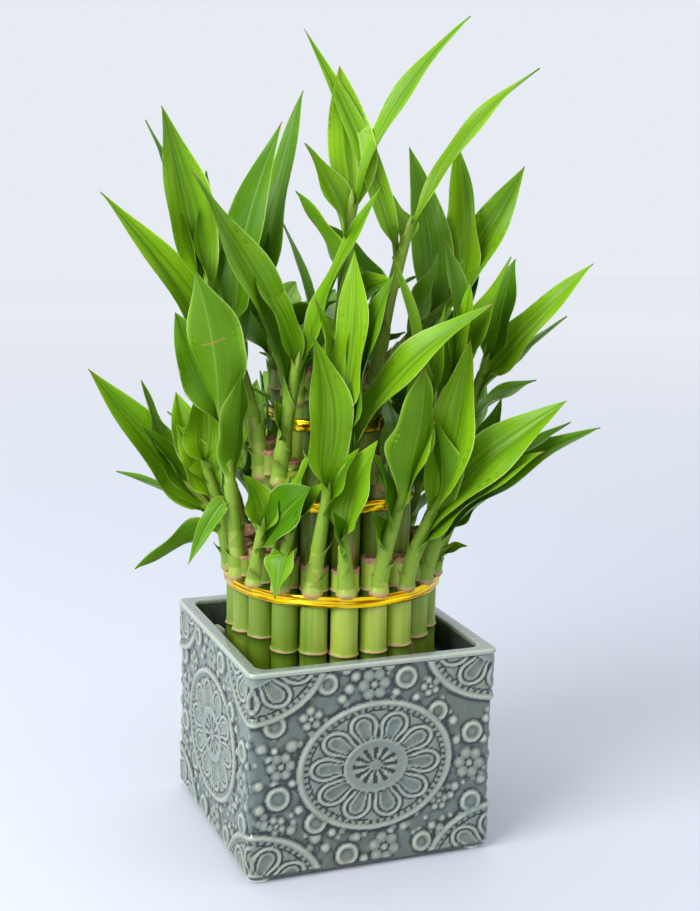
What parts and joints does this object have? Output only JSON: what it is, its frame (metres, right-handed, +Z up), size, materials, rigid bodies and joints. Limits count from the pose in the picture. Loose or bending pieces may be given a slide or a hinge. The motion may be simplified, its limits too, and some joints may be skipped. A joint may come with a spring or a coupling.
{
  "type": "potted lucky bamboo",
  "caption": "Lucky bamboo tower of cut canes tied in three tiers with foil ribbon, each cane with one leafy shoot, in a square glazed pot with raised ornament.",
  "frame": {"origin": "on the surface the pot stands on, under the pot's centre", "axes": "+Z up along the canes, X and Y square to the pot's four faces, the face that shows most in the picture looking to -Y"},
  "size_m": [0.2135, 0.167, 0.3839],
  "materials": {
    "glaze": "glossy grey-green glaze, darker where it pools",
    "pad": "smooth pale rubber",
    "pebble": "matt, damp pebbles and grit",
    "foil": "shiny gold foil on plastic ribbon",
    "bamboo": "waxy living leaves and green canes"
  },
  "bodies": {
    "root": {"pot": "glaze", "foot_pad_1": "pad", "foot_pad_2": "pad", "foot_pad_3": "pad", "foot_pad_4": "pad", "pebble_bed": "pebble", "tie_outer": "foil", "tie_middle": "foil", "tie_inner": "foil", "stalk_outer_1": "bamboo", "stalk_outer_2": "bamboo", "stalk_outer_3": "bamboo", "stalk_outer_4": "bamboo", "stalk_outer_5": "bamboo", "stalk_outer_6": "bamboo", "stalk_outer_7": "bamboo", "stalk_outer_8": "bamboo", "stalk_outer_9": "bamboo", "stalk_outer_10": "bamboo", "stalk_outer_11": "bamboo", "stalk_outer_12": "bamboo", "stalk_outer_13": "bamboo", "stalk_outer_14": "bamboo", "stalk_outer_15": "bamboo", "stalk_outer_16": "bamboo", "stalk_outer_17": "bamboo", "stalk_outer_18": "bamboo", "stalk_outer_19": "bamboo", "stalk_outer_20": "bamboo", "stalk_middle_1": "bamboo", "stalk_middle_2": "bamboo", "stalk_middle_3": "bamboo", "stalk_middle_4": "bamboo", "stalk_middle_5": "bamboo", "stalk_middle_6": "bamboo", "stalk_middle_7": "bamboo", "stalk_middle_8": "bamboo", "stalk_middle_9": "bamboo", "stalk_middle_10": "bamboo", "stalk_middle_11": "bamboo", "stalk_middle_12": "bamboo", "stalk_middle_13": "bamboo", "stalk_inner_1": "bamboo", "stalk_inner_2": "bamboo", "stalk_inner_3": "bamboo", "stalk_inner_4": "bamboo", "stalk_inner_5": "bamboo", "stalk_inner_6": "bamboo", "stalk_inner_7": "bamboo"}
  },
  "joints": []
}
